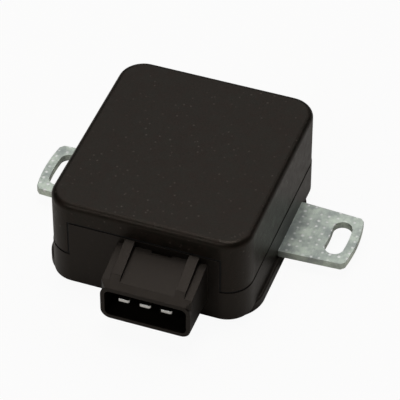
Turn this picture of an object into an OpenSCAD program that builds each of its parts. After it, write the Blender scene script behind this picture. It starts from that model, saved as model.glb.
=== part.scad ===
/* [Body] */
// body width along the bar, at the housing
body_w = 47.9; // [44:0.1:54]
// body depth, connector side to back, at the housing
body_d = 53.1; // [50:0.1:60]
// corner radius of the body, seen from above
body_corner_r = 6.2; // [4:0.1:8]
// overall height over the mounting face
body_h = 25.8; // [24.5:0.1:32]
// body centre along the bar, from the shaft axis
body_x = -1.5; // [-2:0.1:2]
// distance from the shaft axis to the body's back
shaft_to_back = 20.8; // [20.2:0.1:23]

/* [Base plate] */
// how far the base plate stands out at each side of the body
base_lip = 1.85; // [1.3:0.05:2.5]
// how far the base plate stands back from the body's front and back
base_set_back = 3.35; // [2:0.05:4]
// base plate thickness
base_t = 2.6; // [2.4:0.1:3]
// base plate corner radius
base_corner_r = 8.7; // [6:0.1:10]
// base plate shift along the bar, from the body centre
base_shift_x = -1; // [-1.2:0.1:0]
// base plate shift towards the back, from the body centre
base_shift_y = -0.4; // [-0.5:0.1:0.5]
// small round on the base plate's upper rim
base_round = 0.5; // [0.2:0.1:0.9]
// radius of the pilot bore that locates on the throttle body
pilot_r = 11; // [10.5:0.1:11.6]
// centre radius of the face seal's groove
oring_groove_r = 14.2; // [13.8:0.1:14.8]
// section radius of the face seal
oring_section_r = 0.9; // [0.7:0.05:0.95]
// depth of the face seal's groove
oring_groove_depth = 1.8; // [1.7:0.05:1.9]

/* [Mounting bar] */
// bar thickness
bar_t = 1.8; // [1.4:0.1:2]
// radius of the ears' curved ends, about the shaft axis
bar_end_r = 38.8; // [38:0.1:44]
// bar half width at the shaft axis
bar_half_w = 9.9; // [9.5:0.1:10.5]
// how fast each long edge runs in towards the ends, in degrees
bar_edge_angle = 2.9; // [0:0.1:4]
// clearance between the bar's long edges and the housing's channel
channel_gap = 0.05; // [0.02:0.01:0.1]
// radius of the bar's middle hole
bar_hole_r = 7.5; // [7.1:0.1:8.5]
// distance from the slots' centre line to the ears' ends
slot_end_gap = 4.4; // [3.8:0.1:5]
// slot width
slot_w = 4.5; // [4.3:0.1:5]
// slot length, end to end
slot_len = 11; // [8:0.1:12]
// chamfer on the ears' corners
ear_chamfer = 0.7; // [0.3:0.1:1.5]

/* [Housing and cover] */
// wall thickness of the cover
wall = 1.8; // [1.6:0.1:2]
// thickness of the housing's floor over the bar
floor_t = 2; // [1.6:0.1:2.2]
// height of the joint between housing and cover, at the sides
seam_z = 10.8; // [9:0.1:12]
// height of the cover's skirt in the middle of the front wall
front_skirt_h = 5.5; // [4.5:0.1:6.5]
// distance from the body's sides in to the raised middle of the front wall
front_raise_in = 6; // [5.8:0.1:8]
// step from the cover's outside in from the housing's outside
seam_step = 0.1; // [0.05:0.05:0.6]
// thickness of the gasket in the joint
gasket_t = 0.4; // [0.3:0.05:0.8]
// step from the gasket's edge in from the cover's outside
gasket_step = 0.1; // [0.05:0.05:0.3]
// thickness of the tongue inside the cover's skirt
tongue_t = 1; // [0.8:0.1:1.2]
// height of the tongue over the joint
tongue_h = 2; // [1.5:0.1:3]
// gap between the tongue and the cover
tongue_gap = 0.1; // [0.05:0.05:0.2]
// round along the cover's top edge
top_round = 1.5; // [0.8:0.1:2.2]
// thickness of the cover's top
top_t = 1.8; // [1.4:0.1:2.2]

/* [Connector] */
// distance from the connector's side to the body's right side
conn_side_gap = 8.8; // [8:0.05:11]
// connector width outside
conn_w = 21.3; // [20.6:0.1:22]
// height of the connector's underside
conn_z = 5.9; // [5.6:0.1:6.3]
// height of the front wall's joint over the ribs' front ends
rib_climb = 2.8; // [2:0.1:3.2]
// how far the front face stands out from the body
conn_reach = 11.1; // [10.6:0.1:13]
// corner radius of the connector
conn_corner_r = 2.3; // [1.2:0.1:2.6]
// wall thickness of the connector at the sides and below
conn_wall = 1; // [0.9:0.1:1.3]
// depth of the plug's cavity
cavity_depth = 9; // [8.5:0.1:10]
// rise of the slope over the mouth, to the neck's top
lip_rise = 1.3; // [1:0.1:1.6]
// how much narrower the slope's front edge is, at each side
lip_bevel = 1.2; // [0.6:0.1:2]
// height of the ribs over the neck's top, at the mouth
rib_h = 1.1; // [0.6:0.1:1.4]
// height of the ribs over the neck's top, at the body
rib_back_h = 1.8; // [1.2:0.1:2.2]
// width of each rib on the neck
rib_w = 2.4; // [2:0.1:3]
// distance between the two ribs' centres
rib_pitch = 15.2; // [14.6:0.1:16]
// width of the shallow groove where the neck meets the body
neck_groove_w = 4.8; // [4:0.1:6]
// depth of that groove
neck_groove_t = 0.5; // [0.3:0.1:0.8]

/* [Terminals] */
// distance from one blade to the next
pin_pitch = 5; // [4.8:0.1:5.2]
// blade width
blade_w = 2.8; // [2.4:0.1:2.8]
// blade thickness
blade_t = 0.8; // [0.6:0.05:0.8]
// how far the blade tips stand back from the mouth
blade_recess = 0.7; // [0.5:0.1:1.5]
// height of the blades in the cavity, as a share of the cavity's height
blade_place = 0.66; // [0.6:0.01:0.7]
// distance of the middle blade from the connector's centre
blade_shift = 0.4; // [0:0.05:0.8]
// chamfer at the blade tip
blade_tip = 0.5; // [0.3:0.05:0.7]
// width of the tail that goes through the board
tail_w = 1.2; // [1:0.1:1.4]
// how far the tail stands over the board
tail_over = 1; // [0.6:0.1:1.4]
// distance of the upright leg from the inside of the front wall
leg_inset = 2.4; // [2.2:0.1:3]
// clearance around the tail in its board slot
tail_gap = 0.1; // [0.05:0.05:0.2]
// radius of a solder joint at the board
solder_r = 1.2; // [1:0.1:1.4]
// height of a solder joint
solder_h = 0.7; // [0.5:0.1:0.9]

/* [Rotor] */
// radius of the rotor's hub
hub_r = 6; // [5.8:0.05:6.2]
// height of the hub's lower end over the mounting face
hub_z = 2.9; // [2.8:0.1:3.1]
// radius of the D socket for the throttle shaft
socket_r = 4; // [3.8:0.05:4.2]
// distance from the axis to the socket's flat
socket_flat = 3.1; // [3.02:0.02:3.2]
// depth of the socket
socket_depth = 9; // [8:0.1:9.6]
// radius of the rotor's thrust disc
disc_r = 9; // [8.4:0.1:9.6]
// thickness of the thrust disc
disc_t = 1.5; // [1.2:0.1:1.8]
// clearance from the wiper arm's sweep to the cover's inside
arm_gap = 1.4; // [1:0.1:1.8]
// width of the wiper arm
arm_w = 7; // [6.4:0.1:7.6]
// thickness of the wiper arm over the disc
arm_t = 1.2; // [1:0.1:1.4]
// direction of the arm at rest, from the bar towards the back
arm_angle = 45; // [43:1:47]
// angle that the rotor turns through
turn_angle = 90; // [88:1:92]
// extra angle left before a stop post
stop_spare = 4; // [3:0.5:5]
// radius of the two stop posts
stop_post_r = 1.5; // [1.3:0.1:1.6]
// distance from the arm's end in to the stop posts' centres
stop_in = 1.6; // [1.5:0.1:2.4]
// radius of the hub's groove floor
groove_r = 5.3; // [5.2:0.05:5.4]
// outer radius of the circlip
circlip_r = 8.2; // [7.8:0.1:8.4]
// thickness of the circlip
circlip_t = 0.8; // [0.7:0.05:0.9]

/* [Bearing and seal] */
// radial running clearance between hub and bush
hub_clear = 0.03; // [0.01:0.01:0.09]
// wall of the bush
bush_t = 1.5; // [1.3:0.1:1.6]
// wall of the boss around the bush
boss_wall = 1.8; // [1.6:0.1:2.2]
// radius of the seal's pocket
seal_r = 9.5; // [9.4:0.1:9.8]
// height of the seal
seal_h = 2; // [1.8:0.1:2.2]
// free height over the seal for the circlip
clip_room = 1.3; // [1.3:0.1:1.5]
// thickness of the shoulder under the bush
shoulder_t = 0.5; // [0.5:0.1:0.8]
// clearance between the shoulder and the hub
shoulder_gap = 0.3; // [0.25:0.05:0.4]
// thickness of the thrust washer
washer_t = 0.5; // [0.4:0.05:0.6]
// end play over the thrust washer
end_play = 0.05; // [0.03:0.01:0.1]

/* [Track board] */
// free height between the board's screws and the cover's top
head_room = 1.5; // [1.2:0.1:2.5]
// board thickness
board_t = 1; // [0.8:0.05:1.2]
// gap from the board's edges to the cover's inside
board_gap = 0.8; // [0.6:0.1:1.2]
// corner radius of the board
board_corner_r = 1.5; // [1:0.1:2]
// thickness of the printed layers
print_t = 0.1; // [0.08:0.01:0.15]
// distance from the arm's end in to the resistive track's centre line
track_in = 1.8; // [1.6:0.1:2]
// distance between the two tracks' centre lines
track_pitch = 4.2; // [3.9:0.1:4.4]
// width of each track
track_w = 2.6; // [2.2:0.1:2.8]
// how far each track runs past the wiper's travel, in degrees
track_spare = 9; // [7:0.5:10]
// width of the printed conductors
conductor_w = 1.2; // [0.8:0.1:1.6]
// distance from the terminals to the conductors' first turn
conductor_turn = 4; // [3:0.1:5]
// width of the printed pads around the terminals
pad_w = 2.4; // [2:0.1:2.8]
// radius of the board posts
post_r = 2.6; // [2.4:0.1:2.7]
// distance from the board's edges in to its posts' centres
post_in = 2.7; // [2.6:0.1:2.8]
// space between the arm and the printed tracks for the wiper
wiper_space = 2.3; // [2.2:0.1:2.6]

/* [Wiper] */
// thickness of the wiper's sheet
wiper_t = 0.2; // [0.15:0.05:0.25]
// width of one brush finger
finger_w = 0.5; // [0.4:0.05:0.55]
// distance between brush fingers
finger_pitch = 0.8; // [0.75:0.05:0.9]
// gap left under the printed track
contact_gap = 0.02; // [0.01:0.01:0.04]
// radius of the wiper's rivets
wiper_rivet_r = 0.6; // [0.5:0.05:0.7]

/* [Fasteners] */
// radius of the base screws' shanks
base_screw_r = 1.4; // [1.3:0.05:1.5]
// radius of the base screws' heads
base_head_r = 2.4; // [2.2:0.1:2.5]
// height of the base screws' heads
base_head_h = 1.5; // [1.3:0.1:1.6]
// length of the base screws
base_screw_len = 10; // [9:0.1:10.5]
// base screws' distance in from the base plate's side edges
base_screw_in_x = 6.6; // [6.4:0.1:7.6]
// base screws' distance in from the base plate's front and back edges
base_screw_in_y = 4.6; // [4.4:0.1:5.2]
// radius of the base screws' posts
base_post_r = 3; // [2.8:0.1:3.2]
// thickness of the posts' ends over the base screws
base_post_end = 0.5; // [0.4:0.1:0.7]
// radius of the bar rivets' shanks
bar_rivet_r = 1.5; // [1.4:0.05:1.6]
// radius of the bar rivets' heads
bar_rivet_head_r = 2.4; // [2.2:0.05:2.5]
// height of the bar rivets' heads
bar_rivet_head_h = 0.9; // [0.8:0.05:1]
// distance of the bar rivets from the face seal's groove
bar_rivet_gap = 3.5; // [3.3:0.1:3.8]
// radius of the board screws' shanks
board_screw_r = 1.1; // [1:0.05:1.2]
// radius of the board screws' heads
board_head_r = 2.1; // [2:0.05:2.2]
// height of the board screws' heads
board_head_h = 1.2; // [1:0.1:1.4]
// length of the board screws' shanks
board_screw_len = 6; // [5:0.1:7]

/* [Hidden] */
$fn = 96;
// overlap that makes cutters run past a face
over = 1;
body_y = shaft_to_back - body_d / 2;
bar_z = base_t;
bar_top = bar_z + bar_t;
floor_z = bar_top + floor_t;
seam_top = seam_z + gasket_t;
cover_w = body_w - 2 * seam_step;
cover_d = body_d - 2 * seam_step;
cover_r = body_corner_r - seam_step;
base_w = body_w + 2 * base_lip;
base_d = body_d - 2 * base_set_back;
base_x = body_x + base_shift_x;
base_y = body_y + base_shift_y;
base_screw_x = base_w / 2 - base_screw_in_x;
base_screw_y = base_d / 2 - base_screw_in_y;
bar_rivet_x = oring_groove_r + oring_section_r + bar_rivet_gap;
slot_pitch_r = bar_end_r - slot_end_gap;
front_y = body_y - body_d / 2;
// planes of the cover's inside and of the housing's inside at the front
front_in = front_y + seam_step + wall;
rim_in = seam_step + wall + tongue_gap + tongue_t;
front_seam_z = body_h - front_skirt_h;
front_raise_w = body_w - 2 * front_raise_in;
// inner height and reach of the cover
inner_top = body_h - top_t;
inner_side = cover_w / 2 - wall - abs(body_x);
inner_back = body_y + cover_d / 2 - wall;
conn_x = body_x + body_w / 2 - conn_side_gap - conn_w / 2;
conn_y = front_y - conn_reach;
conn_face_h = front_seam_z - rib_climb - rib_h - lip_rise - conn_z;
face_top = conn_z + conn_face_h;
cavity_w = conn_w - 2 * conn_wall;
cavity_z = conn_z + conn_wall;
cavity_h = conn_face_h - 2 * conn_wall;
cavity_back = conn_y + cavity_depth;
blade_x = conn_x - blade_shift;
blade_z = cavity_z + cavity_h * blade_place;
blade_y = conn_y + blade_recess;
leg_y = front_in + leg_inset;
board_top = inner_top - head_room - board_head_h;
board_z = board_top - board_t;
tail_top = board_top + tail_over;
print_z = board_z - print_t;
arm_top = print_z - wiper_space;
arm_z = arm_top - arm_t;
disc_z = arm_z - disc_t;
boss_top = disc_z - end_play - washer_t;
pocket_top = bar_top + seal_h + clip_room;
bush_z = pocket_top + shoulder_t;
bush_len = boss_top - bush_z;
bush_in = hub_r + hub_clear;
bush_out = bush_in + bush_t;
boss_r = bush_out + boss_wall;
pocket_wall_r = seal_r + boss_wall;
clip_z = pocket_top - shoulder_gap - circlip_t;
board_w = cover_w - 2 * wall - 2 * board_gap;
board_d = cover_d - 2 * wall - 2 * board_gap;
post_x = board_w / 2 - post_in;
post_y = board_d / 2 - post_in;
arm_len = min(inner_side, inner_back) - arm_gap;
track_r = arm_len - track_in;
collector_r = track_r - track_pitch;
stop_r = arm_len - stop_in;
stop_half = asin(arm_w / 2 / stop_r) + asin(stop_post_r / stop_r) + stop_spare;
rail_slope = tan(bar_edge_angle);
ear_half_w = bar_half_w - bar_end_r * rail_slope;
slot_half_angle = asin((slot_len - slot_w) / 2 / slot_pitch_r);
travel_mid = arm_angle + turn_angle / 2;
track_half = turn_angle / 2 + track_spare;
wiper_rise = print_z - contact_gap - arm_top - wiper_t;

// rectangle with rounded corners, about its centre
module rounded_rect(w, d, r) {
    square([w, d - 2 * r], center = true);
    square([w - 2 * r, d], center = true);
    for (sx = [-1, 1], sy = [-1, 1]) {
        translate([sx * (w / 2 - r), sy * (d / 2 - r)]) circle(r = r);
    }
}

// slab with rounded corners, standing on its lower face
module rounded_slab(w, d, r, h) {
    linear_extrude(height = h) rounded_rect(w, d, r);
}

// slab with rounded corners and a round along its upper edge
module crowned_slab(w, d, r, h, e) {
    rounded_slab(w, d, r, h - e);
    translate([0, 0, h - e]) rounded_slab(w - 2 * e, d - 2 * e, r - e, e);
    for (sx = [-1, 1]) {
        translate([sx * (w / 2 - e), 0, h - e]) rotate([90, 0, 0]) {
            cylinder(r = e, h = d - 2 * r, center = true);
        }
    }
    for (sy = [-1, 1]) {
        translate([0, sy * (d / 2 - e), h - e]) rotate([0, 90, 0]) {
            cylinder(r = e, h = w - 2 * r, center = true);
        }
    }
    for (sx = [-1, 1], sy = [-1, 1]) {
        translate([sx * (w / 2 - r), sy * (d / 2 - r), h - e]) {
            rotate_extrude() translate([r - e, 0]) circle(r = e);
        }
    }
}

// everything below the joint between housing and cover, raised by g
module below_joint(g) {
    translate([body_x - body_w, body_y - body_d, -over]) {
        cube([2 * body_w, 2 * body_d, seam_z + g + over]);
    }
    translate([body_x - front_raise_w / 2 - g, front_y - over, -over]) {
        cube([front_raise_w + 2 * g, front_in - front_y + over, front_seam_z + g + over]);
    }
}

// ring for a groove or a washer
module ring(r_out, r_in, h) {
    difference() {
        cylinder(r = r_out, h = h);
        translate([0, 0, -over]) cylinder(r = r_in, h = h + 2 * over);
    }
}

// flat arc about the shaft axis
module arc(r, w, half, h) {
    rotate([0, 0, -half]) rotate_extrude(angle = 2 * half) {
        translate([r - w / 2, 0]) square([w, h]);
    }
}

module base_screw_places() {
    for (sx = [-1, 1], sy = [-1, 1]) {
        translate([base_x + sx * base_screw_x, base_y + sy * base_screw_y, 0]) children();
    }
}

module bar_rivet_places() {
    for (sx = [-1, 1]) {
        translate([sx * bar_rivet_x, 0, 0]) children();
    }
}

module board_post_places() {
    for (sx = [-1, 1], sy = [-1, 1]) {
        translate([body_x + sx * post_x, body_y + sy * post_y, 0]) children();
    }
}

module stop_post_places() {
    for (a = [arm_angle - stop_half, arm_angle + turn_angle + stop_half]) {
        rotate([0, 0, a]) translate([stop_r, 0, 0]) children();
    }
}

// plan of the bar with its two ears
module bar_plan() {
    corner_x = sqrt(bar_end_r * bar_end_r - ear_half_w * ear_half_w) - ear_chamfer;
    corner_y = bar_half_w - corner_x * rail_slope;
    end_y = corner_y - bar_end_r + corner_x;
    intersection() {
        circle(r = bar_end_r);
        polygon([
            [-corner_x, -corner_y], [0, -bar_half_w], [corner_x, -corner_y], [bar_end_r, -end_y],
            [bar_end_r, end_y], [corner_x, corner_y], [0, bar_half_w], [-corner_x, corner_y],
            [-bar_end_r, end_y], [-bar_end_r, -end_y]
        ]);
    }
}

module bar_slot(side) {
    rotate([0, 0, side * 90 - 90]) translate([0, 0, -over]) {
        arc(slot_pitch_r, slot_w, slot_half_angle, bar_t + 2 * over);
        for (s = [-1, 1]) {
            rotate([0, 0, s * slot_half_angle]) translate([slot_pitch_r, 0, 0]) {
                cylinder(r = slot_w / 2, h = bar_t + 2 * over);
            }
        }
    }
}

module mounting_bar() {
    color([0.74, 0.76, 0.7]) translate([0, 0, bar_z]) difference() {
        linear_extrude(height = bar_t) bar_plan();
        translate([0, 0, -over]) cylinder(r = bar_hole_r, h = bar_t + 2 * over);
        bar_slot(1);
        bar_slot(-1);
        bar_rivet_places() translate([0, 0, -over]) {
            cylinder(r = bar_rivet_r, h = bar_t + 2 * over);
        }
    }
}

module base_plate() {
    color([0.15, 0.14, 0.13]) difference() {
        translate([base_x, base_y, 0]) {
            crowned_slab(base_w, base_d, base_corner_r, base_t, base_round);
        }
        translate([0, 0, -over]) cylinder(r = pilot_r, h = base_t + 2 * over);
        translate([0, 0, -over]) {
            ring(oring_groove_r + oring_section_r, oring_groove_r - oring_section_r, oring_groove_depth + over);
        }
        base_screw_places() {
            translate([0, 0, -over]) cylinder(r = base_screw_r, h = base_t + 2 * over);
            translate([0, 0, -over]) cylinder(r = base_head_r, h = base_head_h + over);
        }
        bar_rivet_places() {
            translate([0, 0, -over]) cylinder(r = bar_rivet_r, h = base_t + 2 * over);
            translate([0, 0, -over]) cylinder(r = bar_rivet_head_r, h = bar_rivet_head_h + over);
        }
    }
}

module flange_oring() {
    color([0.1, 0.1, 0.1]) translate([0, 0, oring_groove_depth - oring_section_r]) {
        rotate_extrude() translate([oring_groove_r, 0]) circle(r = oring_section_r);
    }
}

module base_screws() {
    color([0.6, 0.6, 0.58]) base_screw_places() {
        cylinder(r = base_head_r, h = base_head_h);
        cylinder(r = base_screw_r, h = base_screw_len);
    }
}

module bar_rivets() {
    color([0.7, 0.7, 0.66]) bar_rivet_places() {
        cylinder(r = bar_rivet_head_r, h = bar_rivet_head_h);
        cylinder(r = bar_rivet_r, h = bar_top + bar_rivet_head_h);
        translate([0, 0, bar_top]) cylinder(r = bar_rivet_head_r, h = bar_rivet_head_h);
    }
}

// outside of the lower box before it is hollowed
module housing_block() {
    translate([body_x, body_y, bar_z]) {
        rounded_slab(body_w, body_d, body_corner_r, front_seam_z - bar_z);
    }
}

// channel in the underside that the bar lies in
module bar_channel() {
    translate([0, 0, bar_z - over]) linear_extrude(height = bar_t + over) {
        polygon([
            [-bar_end_r, -ear_half_w - channel_gap], [0, -bar_half_w - channel_gap],
            [bar_end_r, -ear_half_w - channel_gap], [bar_end_r, ear_half_w + channel_gap],
            [0, bar_half_w + channel_gap], [-bar_end_r, ear_half_w + channel_gap]
        ]);
    }
}

// inside of the housing below the joint, and of its rim
module housing_inside(h) {
    translate([body_x, body_y, floor_z]) {
        rounded_slab(body_w - 2 * rim_in, body_d - 2 * rim_in, body_corner_r - rim_in, h);
    }
}

// inside of the cover, raised to a height
module cover_inside(top) {
    translate([body_x, body_y, 0]) {
        rounded_slab(cover_w - 2 * wall, cover_d - 2 * wall, cover_r - wall, top);
    }
}

module housing_shell() {
    difference() {
        intersection() {
            housing_block();
            below_joint(0);
        }
        housing_inside(body_h);
    }
}

// tongue that stands inside the cover's skirt, joined to the raised front wall
module tongue() {
    in_w = cover_w - 2 * wall - 2 * tongue_gap;
    in_d = cover_d - 2 * wall - 2 * tongue_gap;
    difference() {
        union() {
            translate([body_x, body_y, floor_z]) {
                rounded_slab(in_w, in_d, cover_r - wall - tongue_gap, seam_z + tongue_h - floor_z);
            }
            translate([body_x - front_raise_w / 2, front_y + wall, floor_z]) {
                cube([front_raise_w, 2 * tongue_t, seam_z + tongue_h - floor_z]);
            }
        }
        housing_inside(body_h);
    }
}

// side view of the neck's upper part: a slope over the mouth, then a climb to the body
module neck_side(rise, back_top) {
    translate([conn_x, conn_y, 0]) rotate([90, 0, 90]) linear_extrude(height = conn_w, center = true) {
        polygon([
            [0, face_top - conn_corner_r], [0, face_top], [rise, face_top + rise],
            [conn_reach, back_top], [conn_reach + wall, back_top],
            [conn_reach + wall, face_top - conn_corner_r]
        ]);
    }
}

// the neck seen from above: narrower at the front edge of its slope
module neck_plan() {
    translate([conn_x, conn_y, conn_z]) linear_extrude(height = body_h) polygon([
        [lip_bevel - conn_w / 2, 0], [conn_w / 2 - lip_bevel, 0], [conn_w / 2, lip_bevel],
        [conn_w / 2, conn_reach + wall], [-conn_w / 2, conn_reach + wall], [-conn_w / 2, lip_bevel]
    ]);
}

module connector_neck() {
    depth = conn_reach + wall;
    translate([conn_x, conn_y + depth, (conn_z + face_top) / 2]) rotate([90, 0, 0]) {
        rounded_slab(conn_w, conn_face_h, conn_corner_r, depth);
    }
    intersection() {
        neck_side(lip_rise, front_seam_z - rib_back_h);
        neck_plan();
    }
    // two ribs along the neck
    intersection() {
        neck_side(lip_rise + rib_h, front_seam_z);
        for (s = [-1, 1]) {
            translate([conn_x + s * rib_pitch / 2 - rib_w / 2, conn_y, conn_z]) {
                cube([rib_w, depth, body_h]);
            }
        }
    }
}

module plug_cavity() {
    translate([conn_x, cavity_back, cavity_z + cavity_h / 2]) rotate([90, 0, 0]) {
        rounded_slab(cavity_w, cavity_h, conn_corner_r - conn_wall, cavity_depth + over);
    }
}

module pin_places() {
    for (k = [-1, 0, 1]) {
        translate([blade_x + k * pin_pitch, 0, 0]) children();
    }
}

module housing() {
    color([0.16, 0.145, 0.13]) difference() {
        union() {
            housing_shell();
            tongue();
            connector_neck();
            // boss for the seal and the bush
            translate([0, 0, bar_top]) cylinder(r = pocket_wall_r, h = bush_z - bar_top);
            translate([0, 0, bar_top]) cylinder(r = boss_r, h = boss_top - bar_top);
            board_post_places() translate([0, 0, floor_z - floor_t / 2]) {
                cylinder(r = post_r, h = board_z - floor_z + floor_t / 2);
            }
            base_screw_places() translate([0, 0, floor_z - floor_t / 2]) {
                cylinder(r = base_post_r, h = base_screw_len + base_post_end - floor_z + floor_t / 2);
            }
            stop_post_places() translate([0, 0, floor_z - floor_t / 2]) {
                cylinder(r = stop_post_r, h = arm_top - floor_z + floor_t / 2);
            }
        }
        bar_channel();
        plug_cavity();
        translate([0, 0, bar_top - over]) cylinder(r = seal_r, h = pocket_top - bar_top + over);
        translate([0, 0, bar_top]) cylinder(r = hub_r + shoulder_gap, h = boss_top);
        translate([0, 0, bush_z]) cylinder(r = bush_out, h = boss_top);
        board_post_places() translate([0, 0, board_top - board_screw_len]) {
            cylinder(r = board_screw_r, h = board_screw_len);
        }
        base_screw_places() cylinder(r = base_screw_r, h = base_screw_len);
        bar_rivet_places() translate([0, 0, bar_top - over]) {
            cylinder(r = bar_rivet_head_r, h = bar_rivet_head_h + over);
        }
        pin_places() translate([-blade_w / 2, cavity_back - over, blade_z - blade_t / 2]) {
            cube([blade_w, front_y + rim_in - cavity_back + 2 * over, blade_t]);
        }
        // shallow groove where the neck meets the body
        translate([
            conn_x - neck_groove_w / 2, front_y - neck_groove_t, front_seam_z - rib_back_h - neck_groove_t
        ]) {
            cube([neck_groove_w, neck_groove_t, neck_groove_t + over]);
        }
    }
}

module cover_outside() {
    translate([body_x, body_y, seam_z]) {
        crowned_slab(cover_w, cover_d, cover_r, body_h - seam_z, top_round);
    }
}

module cover() {
    color([0.17, 0.155, 0.14]) difference() {
        cover_outside();
        below_joint(gasket_t);
        cover_inside(inner_top);
    }
}

module cover_seal() {
    color([0.08, 0.08, 0.08]) difference() {
        intersection() {
            translate([body_x, body_y, seam_z]) {
                rounded_slab(
                    cover_w - 2 * gasket_step, cover_d - 2 * gasket_step, cover_r - gasket_step, body_h
                );
            }
            below_joint(gasket_t);
        }
        below_joint(0);
        cover_inside(body_h);
    }
}

module rotor_bush() {
    color([0.62, 0.45, 0.25]) translate([0, 0, bush_z]) ring(bush_out, bush_in, bush_len);
}

module thrust_washer() {
    color([0.7, 0.7, 0.68]) translate([0, 0, boss_top]) ring(boss_r, hub_r + shoulder_gap, washer_t);
}

module circlip() {
    gap_w = groove_r;
    color([0.5, 0.5, 0.5]) translate([0, 0, clip_z]) difference() {
        ring(circlip_r, groove_r, circlip_t);
        translate([0, -gap_w / 2, -over]) cube([2 * circlip_r, gap_w, circlip_t + 2 * over]);
    }
}

module shaft_seal() {
    color([0.12, 0.12, 0.12]) translate([0, 0, bar_top]) difference() {
        cylinder(r = seal_r, h = seal_h);
        translate([0, 0, -over]) cylinder(r = hub_r + hub_clear, h = seal_h + 2 * over);
        translate([0, 0, seal_h / 3]) ring(seal_r - seal_h / 2, hub_r + seal_h / 3, seal_h);
    }
}

module rotor() {
    color([0.75, 0.72, 0.62]) difference() {
        union() {
            translate([0, 0, hub_z]) cylinder(r = hub_r, h = arm_top - hub_z);
            translate([0, 0, disc_z]) cylinder(r = disc_r, h = disc_t);
            rotate([0, 0, arm_angle]) translate([0, 0, arm_z]) {
                translate([0, -arm_w / 2, 0]) cube([arm_len, arm_w, arm_t]);
                cylinder(r = disc_r, h = arm_t);
            }
        }
        // D socket for the throttle shaft
        translate([0, 0, hub_z]) intersection() {
            translate([0, 0, -over]) cylinder(r = socket_r, h = socket_depth + over);
            translate([-socket_r, -socket_r, -over]) {
                cube([socket_r + socket_flat, 2 * socket_r, socket_depth + over]);
            }
        }
        translate([0, 0, clip_z]) ring(hub_r + over, groove_r, circlip_t);
        wiper_rivet_places() translate([0, 0, arm_z - over]) {
            cylinder(r = wiper_rivet_r, h = arm_t + 2 * over);
        }
    }
}

module wiper_rivet_places() {
    rotate([0, 0, arm_angle]) {
        for (r = [track_r, collector_r]) {
            translate([r, -arm_w / 4, 0]) children();
        }
    }
}

// brush fingers that rise to one track
module brush_group(r) {
    run = arm_w / 2;
    tilt = atan2(wiper_rise, run);
    for (k = [-1, 0, 1]) {
        translate([r + k * finger_pitch - finger_w / 2, -wiper_t / 2, 0]) {
            rotate([tilt, 0, 0]) cube([finger_w, run, wiper_t]);
        }
    }
}

module wiper() {
    color([0.8, 0.7, 0.4]) rotate([0, 0, arm_angle]) translate([0, 0, arm_top]) {
        difference() {
            translate([collector_r - track_w / 2, -arm_w / 2, 0]) {
                cube([track_r - collector_r + track_w, arm_w / 2, wiper_t]);
            }
            for (r = [track_r, collector_r]) {
                translate([r, -arm_w / 4, -over]) cylinder(r = wiper_rivet_r, h = wiper_t + 2 * over);
            }
        }
        brush_group(track_r);
        brush_group(collector_r);
    }
}

module wiper_rivets() {
    color([0.78, 0.72, 0.5]) wiper_rivet_places() {
        translate([0, 0, arm_z]) cylinder(r = wiper_rivet_r, h = arm_t + wiper_t);
        translate([0, 0, arm_top + wiper_t]) cylinder(r = 2 * wiper_rivet_r, h = wiper_rivet_r);
    }
}

module track_board() {
    color([0.9, 0.9, 0.86]) difference() {
        translate([body_x, body_y, board_z]) {
            rounded_slab(board_w, board_d, board_corner_r, board_t);
        }
        board_post_places() translate([0, 0, board_z - over]) {
            cylinder(r = board_screw_r, h = board_t + 2 * over);
        }
        pin_slots();
    }
}

// slots in the board for the terminals' tails
module pin_slots() {
    pin_places() translate([-tail_w / 2 - tail_gap, leg_y - blade_t / 2 - tail_gap, board_z - over]) {
        cube([tail_w + 2 * tail_gap, blade_t + 2 * tail_gap, board_t + 2 * over]);
    }
}

module resistive_track() {
    color([0.08, 0.08, 0.08]) translate([0, 0, print_z]) rotate([0, 0, travel_mid]) {
        arc(track_r, track_w, track_half, print_t);
    }
}

module collector_track() {
    color([0.7, 0.68, 0.6]) translate([0, 0, print_z]) rotate([0, 0, travel_mid]) {
        arc(collector_r, track_w, track_half, print_t);
    }
}

module board_screws() {
    color([0.62, 0.62, 0.6]) board_post_places() {
        translate([0, 0, board_top]) cylinder(r = board_head_r, h = board_head_h);
        translate([0, 0, board_top - board_screw_len]) cylinder(r = board_screw_r, h = board_screw_len);
    }
}

// printed line from a terminal's slot to a track's end
module conductor(pin_x, turn_y, end_r) {
    end_x = (pin_x > blade_x ? 1 : -1) * end_r * sin(track_half - track_spare / 2);
    translate([pin_x - conductor_w / 2, leg_y, print_z]) {
        cube([conductor_w, turn_y - leg_y, print_t]);
    }
    translate([min(pin_x, end_x) - conductor_w / 2, turn_y - conductor_w, print_z]) {
        cube([abs(end_x - pin_x) + conductor_w, conductor_w, print_t]);
    }
    translate([end_x - conductor_w / 2, turn_y - conductor_w, print_z]) {
        cube([conductor_w, end_r * cos(track_half - track_spare / 2) - turn_y + conductor_w, print_t]);
    }
}

module conductor_prints() {
    color([0.72, 0.7, 0.62]) difference() {
        union() {
            conductor(blade_x + pin_pitch, leg_y + conductor_turn, track_r);
            conductor(blade_x - pin_pitch, leg_y + conductor_turn, track_r);
            conductor(blade_x, leg_y + conductor_turn + 2 * conductor_w, collector_r);
            pin_places() translate([-pad_w / 2, leg_y - blade_t, print_z]) {
                cube([pad_w, 2 * blade_t, print_t]);
            }
        }
        pin_slots();
        translate([0, 0, print_z - over]) rotate([0, 0, travel_mid]) {
            arc(track_r, track_w, track_half, print_t + 2 * over);
            arc(collector_r, track_w, track_half, print_t + 2 * over);
        }
    }
}

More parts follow.
